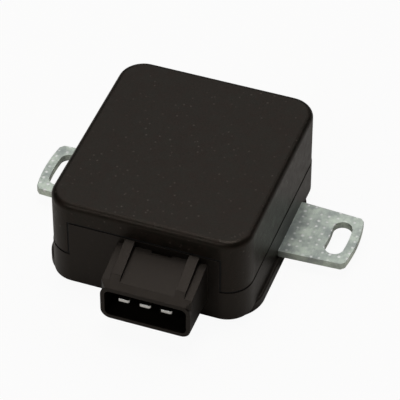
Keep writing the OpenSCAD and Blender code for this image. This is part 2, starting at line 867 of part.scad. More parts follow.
module terminal(k) {
    color([0.86, 0.86, 0.84]) translate([blade_x + k * pin_pitch, 0, 0]) {
        difference() {
            translate([-blade_w / 2, blade_y, blade_z - blade_t / 2]) {
                cube([blade_w, leg_y + blade_t / 2 - blade_y, blade_t]);
            }
            for (s = [-1, 1]) {
                translate([s * (blade_w / 2), blade_y, blade_z - blade_t]) rotate([0, 0, 45]) {
                    cube([blade_tip, blade_tip, 4 * blade_t], center = true);
                }
            }
        }
        translate([-blade_w / 2, leg_y - blade_t / 2, blade_z - blade_t / 2]) {
            cube([blade_w, blade_t, print_z - tail_gap - blade_z + blade_t / 2]);
        }
        translate([-tail_w / 2, leg_y - blade_t / 2, blade_z]) {
            cube([tail_w, blade_t, tail_top - blade_z]);
        }
    }
}

module terminal_left() {
    terminal(-1);
}

module terminal_middle() {
    terminal(0);
}

module terminal_right() {
    terminal(1);
}

module solder_joints() {
    color([0.75, 0.75, 0.76]) pin_places() translate([0, leg_y, board_top]) difference() {
        cylinder(r1 = solder_r, r2 = tail_w, h = solder_h);
        translate([-tail_w / 2, -blade_t / 2, -over]) cube([tail_w, blade_t, solder_h + 2 * over]);
    }
}

base_plate();
mounting_bar();
housing();
cover();
cover_seal();
base_screws();
bar_rivets();
flange_oring();
rotor_bush();
thrust_washer();
circlip();
shaft_seal();
rotor();
wiper();
wiper_rivets();
track_board();
resistive_track();
collector_track();
conductor_prints();
board_screws();
terminal_left();
terminal_middle();
terminal_right();
solder_joints();
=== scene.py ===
import logging
import math
from dataclasses import dataclass
from enum import Enum

import bmesh
import bpy
from mathutils import Matrix, Vector


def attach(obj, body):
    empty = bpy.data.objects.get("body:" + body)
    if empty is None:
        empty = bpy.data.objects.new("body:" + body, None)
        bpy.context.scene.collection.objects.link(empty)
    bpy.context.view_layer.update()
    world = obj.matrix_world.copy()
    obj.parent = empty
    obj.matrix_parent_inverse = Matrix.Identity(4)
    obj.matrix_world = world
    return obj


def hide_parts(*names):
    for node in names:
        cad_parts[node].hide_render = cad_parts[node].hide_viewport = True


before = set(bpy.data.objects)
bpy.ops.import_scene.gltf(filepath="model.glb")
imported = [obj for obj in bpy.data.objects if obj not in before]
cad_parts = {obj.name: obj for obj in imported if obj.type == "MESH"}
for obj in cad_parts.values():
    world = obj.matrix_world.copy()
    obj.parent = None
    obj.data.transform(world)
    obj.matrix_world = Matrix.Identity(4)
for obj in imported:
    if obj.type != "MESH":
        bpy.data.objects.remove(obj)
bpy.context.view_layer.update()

MM = 0.001
Colour = tuple[float, float, float]
Range = tuple[float, float]
log = logging.getLogger("sensor")


class Body(Enum):
    """The rigid bodies of the sensor."""

    CASE = "body"
    ROTOR = "rotor"


class Grain(Enum):
    """The ways in which a finish's surface can vary."""

    MOULDED = "moulded"
    PLATED = "plated"
    CAST = "cast"


@dataclass(frozen=True)
class Finish:
    """One finish, with the values that its material is made from.

    Args:
        name: Material name.
        dark: Linear colour of the surface's darker patches.
        light: Linear colour of the surface's lighter patches.
        worn: Linear colour of worn edges and specks.
        metallic: Metallic value of the shader.
        rough_low: Roughness of the smoothest patches.
        rough_high: Roughness of the roughest patches.
        grain: Which group gives the variation.
        grain_mm: Size of the finest grain in millimetres.
        bump_mm: Height of the grain in millimetres.
        wear: How much the edges are worn, from 0 to 1.
        specks: How strongly the grain's specks take the worn colour.
        specular: Specular level of the shader.
        sheen: Tint of the shader's reflections.
    """

    name: str
    dark: Colour
    light: Colour
    worn: Colour
    metallic: float = 0.0
    rough_low: float = 0.35
    rough_high: float = 0.55
    grain: Grain = Grain.MOULDED
    grain_mm: float = 0.35
    bump_mm: float = 0.02
    wear: float = 0.3
    specks: float = 0.0
    specular: float = 0.5
    sheen: Colour = (1.0, 1.0, 1.0)


CASE_PLASTIC = Finish(
    "case_plastic", (0.005, 0.0042, 0.0034), (0.0085, 0.0064, 0.005), (0.03, 0.026, 0.021),
    rough_low=0.34, rough_high=0.44, grain_mm=0.4, bump_mm=0.014, wear=0.2, specks=0.4,
    specular=0.3, sheen=(1.0, 0.85, 0.73),
)
COVER_PLASTIC = Finish(
    "cover_plastic", (0.0024, 0.0034, 0.0016), (0.0145, 0.0078, 0.006), (0.06, 0.055, 0.046),
    rough_low=0.28, rough_high=0.48, grain_mm=0.45, bump_mm=0.04, wear=0.05, specks=0.85,
    specular=0.265, sheen=(1.0, 0.84, 0.71),
)
PLATED_STEEL = Finish(
    "plated_steel", (0.38, 0.42, 0.4), (0.84, 0.93, 0.8), (0.97, 0.98, 0.95),
    metallic=0.55, rough_low=0.34, rough_high=0.55, grain=Grain.PLATED, grain_mm=0.5,
    bump_mm=0.03, wear=0.3, specks=1.0,
)
SCREW_STEEL = Finish(
    "screw_steel", (0.32, 0.31, 0.27), (0.5, 0.49, 0.43), (0.7, 0.7, 0.66),
    metallic=0.9, rough_low=0.3, rough_high=0.5, grain=Grain.CAST, grain_mm=0.4, bump_mm=0.01,
)
SEAL_RUBBER = Finish(
    "seal_rubber", (0.008, 0.008, 0.008), (0.016, 0.016, 0.016), (0.03, 0.03, 0.03),
    rough_low=0.6, rough_high=0.8, grain_mm=0.3, bump_mm=0.01, wear=0.15, specular=0.3,
)
BUSH_BRONZE = Finish(
    "bush_bronze", (0.3, 0.17, 0.07), (0.5, 0.32, 0.15), (0.66, 0.46, 0.24),
    metallic=1.0, rough_low=0.35, rough_high=0.6, grain=Grain.CAST, grain_mm=0.25, bump_mm=0.015,
)
ROTOR_PLASTIC = Finish(
    "rotor_plastic", (0.36, 0.31, 0.22), (0.5, 0.45, 0.34), (0.62, 0.58, 0.48),
    rough_low=0.35, rough_high=0.5, grain_mm=0.4, bump_mm=0.01, wear=0.25,
)
CONTACT_BRASS = Finish(
    "contact_brass", (0.55, 0.4, 0.15), (0.8, 0.62, 0.3), (0.9, 0.78, 0.5),
    metallic=1.0, rough_low=0.18, rough_high=0.32, grain=Grain.PLATED, grain_mm=0.2, bump_mm=0.004,
)
BOARD_CERAMIC = Finish(
    "board_ceramic", (0.62, 0.62, 0.57), (0.76, 0.76, 0.71), (0.8, 0.8, 0.78),
    rough_low=0.45, rough_high=0.65, grain=Grain.CAST, grain_mm=0.15, bump_mm=0.004, wear=0.15,
)
TRACK_INK = Finish(
    "track_ink", (0.012, 0.012, 0.013), (0.025, 0.025, 0.026), (0.04, 0.04, 0.04),
    rough_low=0.4, rough_high=0.6, grain=Grain.CAST, grain_mm=0.1, bump_mm=0.004, wear=0.1,
)
SILVER_PRINT = Finish(
    "silver_print", (0.46, 0.44, 0.38), (0.64, 0.62, 0.56), (0.75, 0.74, 0.7),
    metallic=0.85, rough_low=0.35, rough_high=0.55, grain=Grain.CAST, grain_mm=0.12, bump_mm=0.004,
)
TINNED_BLADE = Finish(
    "tinned_blade", (0.78, 0.78, 0.76), (0.92, 0.92, 0.9), (0.95, 0.95, 0.94),
    metallic=1.0, rough_low=0.12, rough_high=0.24, grain=Grain.CAST, grain_mm=0.15, bump_mm=0.003,
)
SOLDER = Finish(
    "solder", (0.5, 0.5, 0.5), (0.68, 0.68, 0.68), (0.8, 0.8, 0.8),
    metallic=1.0, rough_low=0.22, rough_high=0.4, grain=Grain.CAST, grain_mm=0.3, bump_mm=0.006,
)


@dataclass(frozen=True)
class EdgeRub:
    """Numbers of the rubbed edges.

    Args:
        reach: Width of the rubbed edge, where a material sets none.
        amount: Strength of the rub, where a material sets none.
        samples: Samples that look for an edge.
        turn: How far the surface turns where the rub starts and where it is full.
        patch_scale: Number of patches in a metre.
        patch_octaves: Octaves of the patches.
        patch_rough: Strength of the patches' finer octaves.
        patch: Noise values where a patch starts and where it is full.
        least: Share of the rub that stays between the patches.
    """

    reach: float = 0.4 * MM
    amount: float = 0.5
    samples: int = 6
    turn: Range = (0.01, 0.2)
    patch_scale: float = 900.0
    patch_octaves: float = 4.0
    patch_rough: float = 0.6
    patch: Range = (0.36, 0.66)
    least: float = 0.2


@dataclass(frozen=True)
class MouldedSkin:
    """Numbers of the moulded skin. Scales are shares of the group's fineness.

    Args:
        fineness: Number of the finest features in a metre, where a material sets none.
        octaves: Octaves of every noise.
        rough: Strength of the finer octaves.
        flow_scale: Scale of the flow marks.
        speck_scale: Scale of the cells that hold a speck each.
        speck: Distances from a cell's point where a speck is full and where it ends.
        cluster_scale: Scale of the clusters that specks come in.
        cluster_rough: Strength of the clusters' finer octaves.
        cluster: Noise values where a cluster starts and where it is full.
        flow_tone: Share of the flow marks in the tone.
        pit_tone: Share of the pits in the tone.
        speck_tone: Share of the specks in the tone.
        flow_dull: How much the flow marks roughen the skin.
        speck_gloss: How much the specks smooth the skin.
        pit_height: Height of the pits.
        speck_height: Height of the specks.
    """

    fineness: float = 2500.0
    octaves: float = 3.0
    rough: float = 0.6
    flow_scale: float = 0.2
    speck_scale: float = 0.26
    speck: Range = (0.03, 0.2)
    cluster_scale: float = 0.06
    cluster_rough: float = 0.7
    cluster: Range = (0.36, 0.6)
    flow_tone: float = 0.55
    pit_tone: float = 0.45
    speck_tone: float = 0.9
    flow_dull: float = 1.2
    speck_gloss: float = 0.5
    pit_height: float = 0.8
    speck_height: float = 0.6


@dataclass(frozen=True)
class PlatedSheet:
    """Numbers of the plated sheet. Scales are shares of the group's fineness.

    Args:
        fineness: Number of the finest features in a metre, where a material sets none.
        line_turn: Direction of the rolling lines, in radians from X.
        line_stretch: Scale along the lines, as a share of the scale across them.
        line_octaves: Octaves of the lines.
        line_rough: Strength of the lines' finer octaves.
        cloud_scale: Scale of the clouds in the plating.
        cloud_octaves: Octaves of the clouds.
        dimple_scale: Scale of the dimples.
        dimple_octaves: Octaves of the dimples.
        dimple: Noise values where a dimple starts and where it is full.
        stud_scale: Scale of the cells that hold a raised dot each.
        stud_wander: How far the dots stray from their grid, from 0 to 1.
        stud: Distances from a cell's point where a dot is full and where it ends.
        patch_scale: Scale of the patches in which the dots are kept.
        patch_octaves: Octaves of those patches.
        patch: Noise values where a patch starts and where it is full.
        line_tone: Share of the lines in the tone.
        cloud_tone: Share of the clouds in the tone.
        dimple_tone: How much the dimples darken the tone.
        cloud_dull: How much the clouds roughen the sheet.
        line_dull: How much the lines roughen the sheet.
        line_height: Height of the lines.
        dimple_depth: Depth of the dimples.
        stud_height: Height of the dots.
    """

    fineness: float = 2000.0
    line_turn: float = 0.35
    line_stretch: float = 0.22
    line_octaves: float = 4.0
    line_rough: float = 0.65
    cloud_scale: float = 0.12
    cloud_octaves: float = 3.0
    dimple_scale: float = 0.6
    dimple_octaves: float = 2.0
    dimple: Range = (0.54, 0.7)
    stud_scale: float = 0.25
    stud_wander: float = 0.12
    stud: Range = (0.12, 0.3)
    patch_scale: float = 0.14
    patch_octaves: float = 1.0
    patch: Range = (0.3, 0.5)
    line_tone: float = 0.22
    cloud_tone: float = 0.85
    dimple_tone: float = 0.05
    cloud_dull: float = 0.6
    line_dull: float = 0.5
    line_height: float = 0.5
    dimple_depth: float = 0.3
    stud_height: float = 1.6


@dataclass(frozen=True)
class OpenGrain:
    """Numbers of the open grain. Scales are shares of the group's fineness.

    Args:
        fineness: Number of the finest features in a metre, where a material sets none.
        pore_octaves: Octaves of the pores.
        pore_rough: Strength of the pores' finer octaves.
        patch_scale: Scale of the patches.
        patch_octaves: Octaves of the patches.
        pore_tone: Share of the pores in the tone.
        patch_tone: Share of the patches in the tone.
        dull: Noise values of the smoothest and of the roughest spots.
        bright: Noise values where a bright grain starts and where it is full.
    """

    fineness: float = 4000.0
    pore_octaves: float = 4.0
    pore_rough: float = 0.7
    patch_scale: float = 0.1
    patch_octaves: float = 2.0
    pore_tone: float = 0.6
    patch_tone: float = 0.4
    dull: Range = (0.3, 0.7)
    bright: Range = (0.66, 0.8)


class NodeGraph:
    """A thin helper around one node tree."""

    def __init__(self, tree: bpy.types.NodeTree) -> None:
        """Keeps the tree.

        Args:
            tree: The tree that nodes are added to.
        """
        self.tree = tree

    def add(self, kind: str, **props: object) -> bpy.types.Node:
        """Adds a node.

        Args:
            kind: The node's type name.
            **props: Properties set on the node.

        Returns:
            The new node.
        """
        node = self.tree.nodes.new(kind)
        for name, value in props.items():
            setattr(node, name, value)
        return node

    def link(self, out: bpy.types.NodeSocket, into: bpy.types.NodeSocket) -> None:
        """Joins two sockets."""
        self.tree.links.new(out, into)

    def feed(self, slot: bpy.types.NodeSocket, value: object) -> None:
        """Links a socket, or sets a plain value, on an input.

        Args:
            slot: The input.
            value: A socket or a plain value.
        """
        if isinstance(value, bpy.types.NodeSocket):
            self.link(value, slot)
        else:
            slot.default_value = value

    def math(
        self, operation: str, first: object, second: object = 0.0, clamp: bool = False
    ) -> bpy.types.NodeSocket:
        """Adds a math node.

        Args:
            operation: The node's operation.
            first: A socket or a number.
            second: A socket or a number.
            clamp: Whether the result is kept from 0 to 1.

        Returns:
            The node's output.
        """
        node = self.add("ShaderNodeMath", operation=operation, use_clamp=clamp)
        for slot, value in zip(node.inputs, (first, second)):
            self.feed(slot, value)
        return node.outputs[0]

    def scaled(self, value: object, factor: object, clamp: bool = False) -> bpy.types.NodeSocket:
        """Multiplies a value by a factor."""
        return self.math("MULTIPLY", value, factor, clamp)

    def plus(self, first: object, second: object, clamp: bool = False) -> bpy.types.NodeSocket:
        """Adds two values."""
        return self.math("ADD", first, second, clamp)

    def minus(self, first: object, second: object) -> bpy.types.NodeSocket:
        """Takes the second value from the first."""
        return self.math("SUBTRACT", first, second)

    def noise(
        self, vector: bpy.types.NodeSocket, scale: object, octaves: float, rough: float = 0.5
    ) -> bpy.types.NodeSocket:
        """Adds a noise texture.

        Args:
            vector: Coordinates.
            scale: Number of features in a metre, or a socket with it.
            octaves: Octaves.
            rough: Strength of the finer octaves.

        Returns:
            The noise value, from 0 to 1.
        """
        node = self.add("ShaderNodeTexNoise")
        self.link(vector, node.inputs["Vector"])
        self.feed(node.inputs["Scale"], scale)
        node.inputs["Detail"].default_value = octaves
        node.inputs["Roughness"].default_value = rough
        return node.outputs["Fac"]

    def dots(
        self, vector: bpy.types.NodeSocket, scale: object, reach: Range, wander: float = 1.0
    ) -> bpy.types.NodeSocket:
        """Adds round dots, one to a cell.

        Args:
            vector: Coordinates.
            scale: Number of cells in a metre, or a socket with it.
            reach: Distances where a dot is full and where it ends, as shares of a cell.
            wander: How far a dot strays from its cell's middle, from 0 to 1.

        Returns:
            The dots, from 0 to 1.
        """
        node = self.add("ShaderNodeTexVoronoi", feature="F1")
        self.link(vector, node.inputs["Vector"])
        self.feed(node.inputs["Scale"], scale)
        node.inputs["Randomness"].default_value = wander
        return self.minus(1.0, self.stretch(node.outputs["Distance"], reach))

    def stretch(self, value: bpy.types.NodeSocket, span: Range) -> bpy.types.NodeSocket:
        """Maps a range onto 0 to 1, with smooth ends.

        Args:
            value: The value.
            span: The values that become 0 and 1.

        Returns:
            The mapped value.
        """
        node = self.add("ShaderNodeMapRange", interpolation_type="SMOOTHSTEP")
        self.link(value, node.inputs["Value"])
        node.inputs["From Min"].default_value = span[0]
        node.inputs["From Max"].default_value = span[1]
        return node.outputs["Result"]

    def mix_color(
        self, factor: bpy.types.NodeSocket, first: object, second: object
    ) -> bpy.types.NodeSocket:
        """Mixes two colours.

        Args:
            factor: Share of the second colour.
            first: Colour or socket at 0.
            second: Colour or socket at 1.

        Returns:
            The mixed colour.
        """
        node = self.add("ShaderNodeMix", data_type="RGBA")
        self.link(factor, node.inputs[0])
        for slot, value in ((node.inputs[6], first), (node.inputs[7], second)):
            self.feed(slot, value if isinstance(value, bpy.types.NodeSocket) else (*value, 1.0))
        return node.outputs[2]

    def mix_shader(
        self, factor: bpy.types.NodeSocket, first: bpy.types.Node, second: bpy.types.Node
    ) -> bpy.types.NodeSocket:
        """Mixes two shaders.

        Args:
            factor: Share of the second shader.
            first: Shader at 0.
            second: Shader at 1.

        Returns:
            The mixed shader.
        """
        node = self.add("ShaderNodeMixShader")
        self.link(factor, node.inputs[0])
        self.link(first.outputs[0], node.inputs[1])
        self.link(second.outputs[0], node.inputs[2])
        return node.outputs[0]


class SurfaceGroups:
    """Builds the shader node groups once and hands them out."""

    def __init__(self) -> None:
        """Makes every group."""
        self.edge_wear = self.build_edge_wear()
        self.grains = {
            Grain.MOULDED: self.build_moulded(),
            Grain.PLATED: self.build_plated(),
            Grain.CAST: self.build_cast(),
        }

    def new_group(
        self, name: str, inputs: dict[str, float], outputs: tuple[str, ...]
    ) -> tuple[NodeGraph, bpy.types.Node, bpy.types.Node]:
        """Starts a group with number sockets.

        Args:
            name: Group name.
            inputs: Input names with their defaults.
            outputs: Output names.

        Returns:
            The graph, the group's input node and its output node.
        """
        tree = bpy.data.node_groups.new(name, "ShaderNodeTree")
        for label, value in inputs.items():
            socket = tree.interface.new_socket(
                name=label, in_out="INPUT", socket_type="NodeSocketFloat"
            )
            socket.default_value = value
        for label in outputs:
            tree.interface.new_socket(
                name=label, in_out="OUTPUT", socket_type="NodeSocketFloat"
            )
        graph = NodeGraph(tree)
        return graph, graph.add("NodeGroupInput"), graph.add("NodeGroupOutput")

    def new_grain(
        self, name: str, fineness: float
    ) -> tuple[NodeGraph, bpy.types.NodeSocket, bpy.types.NodeSocket, bpy.types.Node]:
        """Starts a group that gives a grain.

        Args:
            name: Group name.
            fineness: Default number of the finest features in a metre.

        Returns:
            The graph, the coordinates, the fineness and the group's output node.
        """
        graph, source, target = self.new_group(
            name, {"Fineness": fineness}, ("Tone", "Rough", "Height", "Specks")
        )
        place = graph.add("ShaderNodeTexCoord").outputs["Object"]
        return graph, place, source.outputs["Fineness"], target

    def build_edge_wear(self) -> bpy.types.NodeTree:
        """Makes the mask of rubbed edges, broken up into patches.

        Returns:
            The group.
        """
        look = EdgeRub()
        graph, source, target = self.new_group(
            "edge_wear", {"Reach": look.reach, "Amount": look.amount}, ("Mask",)
        )
        bevel = graph.add("ShaderNodeBevel", samples=look.samples)
        graph.link(source.outputs["Reach"], bevel.inputs["Radius"])
        geometry = graph.add("ShaderNodeNewGeometry")
        dot = graph.add("ShaderNodeVectorMath", operation="DOT_PRODUCT")
        graph.link(bevel.outputs["Normal"], dot.inputs[0])
        graph.link(geometry.outputs["Normal"], dot.inputs[1])
        edge = graph.stretch(graph.minus(1.0, dot.outputs["Value"]), look.turn)
        place = graph.add("ShaderNodeTexCoord").outputs["Object"]
        patch = graph.noise(place, look.patch_scale, look.patch_octaves, look.patch_rough)
        rub = graph.stretch(patch, look.patch)
        mask = graph.scaled(edge, graph.plus(graph.scaled(rub, 1.0 - look.least), look.least))
        amount = graph.scaled(mask, source.outputs["Amount"], clamp=True)
        graph.link(amount, target.inputs["Mask"])
        return graph.tree

    def build_moulded(self) -> bpy.types.NodeTree:
        """Makes the grain of a moulded plastic skin: fine pits, flow marks and specks.

        Returns:
            The group.
        """
        look = MouldedSkin()
        graph, place, fineness, target = self.new_grain("moulded_grain", look.fineness)
        pits = graph.noise(place, fineness, look.octaves, look.rough)
        flow_scale = graph.scaled(fineness, look.flow_scale)
        flow = graph.noise(place, flow_scale, look.octaves, look.rough)
        speck = graph.dots(place, graph.scaled(fineness, look.speck_scale), look.speck)
        cluster_scale = graph.scaled(fineness, look.cluster_scale)
        cluster = graph.noise(place, cluster_scale, look.octaves, look.cluster_rough)
        specks = graph.scaled(speck, graph.stretch(cluster, look.cluster))
        tone = graph.plus(graph.scaled(flow, look.flow_tone), graph.scaled(pits, look.pit_tone))
        tone = graph.plus(tone, graph.scaled(specks, look.speck_tone))
        gloss = graph.scaled(specks, look.speck_gloss)
        rough = graph.minus(graph.scaled(flow, look.flow_dull), gloss)
        bumps = graph.scaled(specks, look.speck_height)
        height = graph.plus(graph.scaled(pits, look.pit_height), bumps)
        graph.link(tone, target.inputs["Tone"])
        graph.link(graph.math("MAXIMUM", rough, 0.0, clamp=True), target.inputs["Rough"])
        graph.link(height, target.inputs["Height"])
        graph.link(specks, target.inputs["Specks"])
        return graph.tree

    def build_plated(self) -> bpy.types.NodeTree:
        """Makes the look of plated sheet: rolling lines, dimples, raised dots and clouds.

        Returns:
            The group.
        """
        look = PlatedSheet()
        graph, place, fineness, target = self.new_grain("plated_sheet", look.fineness)
        along = graph.add("ShaderNodeMapping")
        graph.link(place, along.inputs["Vector"])
        along.inputs["Rotation"].default_value = (0.0, 0.0, look.line_turn)
        along.inputs["Scale"].default_value = (1.0, look.line_stretch, 1.0)
        lines = graph.noise(
            along.outputs["Vector"], fineness, look.line_octaves, look.line_rough
        )
        cloud = graph.noise(place, graph.scaled(fineness, look.cloud_scale), look.cloud_octaves)
        dimple_scale = graph.scaled(fineness, look.dimple_scale)
        dimple = graph.noise(place, dimple_scale, look.dimple_octaves)
        dimple = graph.stretch(dimple, look.dimple)
        stud_scale = graph.scaled(fineness, look.stud_scale)
        stud = graph.dots(place, stud_scale, look.stud, look.stud_wander)
        patch = graph.noise(place, graph.scaled(fineness, look.patch_scale), look.patch_octaves)
        studs = graph.scaled(stud, graph.stretch(patch, look.patch))
        clouds = graph.scaled(cloud, look.cloud_tone)
        tone = graph.plus(graph.scaled(lines, look.line_tone), clouds)
        tone = graph.minus(tone, graph.scaled(dimple, look.dimple_tone))
        dull = graph.scaled(lines, look.line_dull)
        rough = graph.plus(graph.scaled(cloud, look.cloud_dull), dull, clamp=True)
        dents = graph.scaled(dimple, look.dimple_depth)
        height = graph.minus(graph.scaled(lines, look.line_height), dents)
        height = graph.plus(height, graph.scaled(studs, look.stud_height))
        graph.link(tone, target.inputs["Tone"])
        graph.link(rough, target.inputs["Rough"])
        graph.link(height, target.inputs["Height"])
        graph.link(studs, target.inputs["Specks"])
        return graph.tree

    def build_cast(self) -> bpy.types.NodeTree:
        """Makes an even, slightly open grain for sintered, fired and printed surfaces.

        Returns:
            The group.
        """
        look = OpenGrain()
        graph, place, fineness, target = self.new_grain("open_grain", look.fineness)
        pores = graph.noise(place, fineness, look.pore_octaves, look.pore_rough)
        patch = graph.noise(place, graph.scaled(fineness, look.patch_scale), look.patch_octaves)
        patches = graph.scaled(patch, look.patch_tone)
        tone = graph.plus(graph.scaled(pores, look.pore_tone), patches)
        graph.link(tone, target.inputs["Tone"])
        graph.link(graph.stretch(pores, look.dull), target.inputs["Rough"])
        graph.link(pores, target.inputs["Height"])
        graph.link(graph.stretch(pores, look.bright), target.inputs["Specks"])
        return graph.tree


class Paintwork:
    """Turns finishes into materials and keeps each one."""

    EDGE_REACH = 0.35 * MM
    EDGE_ROUND = 0.16 * MM
    ROUND_SAMPLES = 4
    TONE_SPAN = (0.3, 0.8)

    def __init__(self, groups: SurfaceGroups) -> None:
        """Keeps the groups.

        Args:
            groups: The shader node groups.
        """
        self.groups = groups
        self.made: dict[str, bpy.types.Material] = {}

    def material(self, finish: Finish) -> bpy.types.Material:
        """Gives the finish's material, made at its first use.

        Args:
            finish: The finish.

        Returns:
            The material.
        """
        if finish.name not in self.made:
            self.made[finish.name] = self.build(finish)
        return self.made[finish.name]

    def build(self, finish: Finish) -> bpy.types.Material:
        """Makes one material.

        Args:
            finish: The finish.

        Returns:
            The material.
        """
        made = bpy.data.materials.new(finish.name)
        made.use_nodes = True
        graph = NodeGraph(made.node_tree)
        shader = made.node_tree.nodes["Principled BSDF"]
        grain = graph.add("ShaderNodeGroup", node_tree=self.groups.grains[finish.grain])
        grain.inputs["Fineness"].default_value = 1.0 / (finish.grain_mm * MM)
        wear = graph.add("ShaderNodeGroup", node_tree=self.groups.edge_wear)
        wear.inputs["Reach"].default_value = self.EDGE_REACH
        wear.inputs["Amount"].default_value = finish.wear
        tone = graph.stretch(grain.outputs["Tone"], self.TONE_SPAN)
        colour = graph.mix_color(tone, finish.dark, finish.light)
        bare = graph.scaled(grain.outputs["Specks"], finish.specks)
        bare = graph.plus(bare, wear.outputs["Mask"], clamp=True)
        colour = graph.mix_color(bare, colour, finish.worn)
        graph.link(colour, shader.inputs["Base Color"])
        rough = graph.add("ShaderNodeMapRange")
        graph.link(grain.outputs["Rough"], rough.inputs["Value"])
        rough.inputs["To Min"].default_value = finish.rough_low
        rough.inputs["To Max"].default_value = finish.rough_high
        graph.link(rough.outputs["Result"], shader.inputs["Roughness"])
        rounded = graph.add("ShaderNodeBevel", samples=self.ROUND_SAMPLES)
        rounded.inputs["Radius"].default_value = self.EDGE_ROUND
        bump = graph.add("ShaderNodeBump")
        graph.link(rounded.outputs["Normal"], bump.inputs["Normal"])
        bump.inputs["Distance"].default_value = finish.bump_mm * MM
        bump.inputs["Strength"].default_value = 1.0
        graph.link(grain.outputs["Height"], bump.inputs["Height"])
        graph.link(bump.outputs["Normal"], shader.inputs["Normal"])
        shader.inputs["Metallic"].default_value = finish.metallic
        shader.inputs["Specular IOR Level"].default_value = finish.specular
        shader.inputs["Specular Tint"].default_value = (*finish.sheen, 1.0)
        return made

    def dress(self, finish: Finish, *nodes: str) -> None:
        """Gives CAD nodes a finish.

        Args:
            finish: The finish.
            *nodes: Names of the CAD nodes.
        """
        made = self.material(finish)
        for name in nodes:
            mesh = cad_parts[name].data
            mesh.materials.clear()
            mesh.materials.append(made)
            log.info("dressed %s with %s", name, finish.name)


def piece_from(
    name: str, mesh: bmesh.types.BMesh, made: bpy.types.Material, body: Body
) -> bpy.types.Object:
    """Turns a mesh into a piece that rides on a body.

    Args:
        name: Piece name.
        mesh: The mesh, in metres; it is freed.
        made: The material.
        body: The body that it rides on.

    Returns:
        The new object.
    """
    data = bpy.data.meshes.new(name)
    bmesh.ops.recalc_face_normals(mesh, faces=mesh.faces)
    mesh.to_mesh(data)
    mesh.free()
    data.materials.append(made)
    made_object = bpy.data.objects.new(name, data)
    bpy.context.scene.collection.objects.link(made_object)
    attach(made_object, body.value)
    log.info("built %s with %d faces", name, len(data.polygons))
    return made_object


@dataclass
class Case:
    """Housing, cover, base plate and the gasket between them."""

    paint: Paintwork

    def build(self) -> None:
        """Dresses the case."""
        self.paint.dress(CASE_PLASTIC, "housing", "base_plate")
        self.paint.dress(COVER_PLASTIC, "cover")
        self.paint.dress(SEAL_RUBBER, "cover_seal", "flange_oring")


@dataclass
class MountingBar:
    """The plated bar."""

    paint: Paintwork

    def build(self) -> None:
        """Dresses the bar."""
        self.paint.dress(PLATED_STEEL, "mounting_bar")


@dataclass(frozen=True)
class Fastener:
    """One kind of fastener that stands along Z.

    Args:
        node: The CAD node that it replaces.
        head_r: Radius of the head.
        head_h: Height of the head.
        shank_r: Radius of the shank.
        length: Overall length.
        up: Whether the head is at the upper end.
        second_head: Whether the far end has a head too, as a rivet has.
    """

    node: str
    head_r: float
    head_h: float
    shank_r: float
    length: float
    up: bool
    second_head: bool = False


BASE_SCREW = Fastener("base_screws", 2.4 * MM, 1.5 * MM, 1.4 * MM, 10.0 * MM, up=False)
BOARD_SCREW = Fastener("board_screws", 2.1 * MM, 1.2 * MM, 1.1 * MM, 7.2 * MM, up=True)
BAR_RIVET = Fastener(
    "bar_rivets", 2.4 * MM, 0.9 * MM, 1.5 * MM, 5.3 * MM, up=False, second_head=True
)


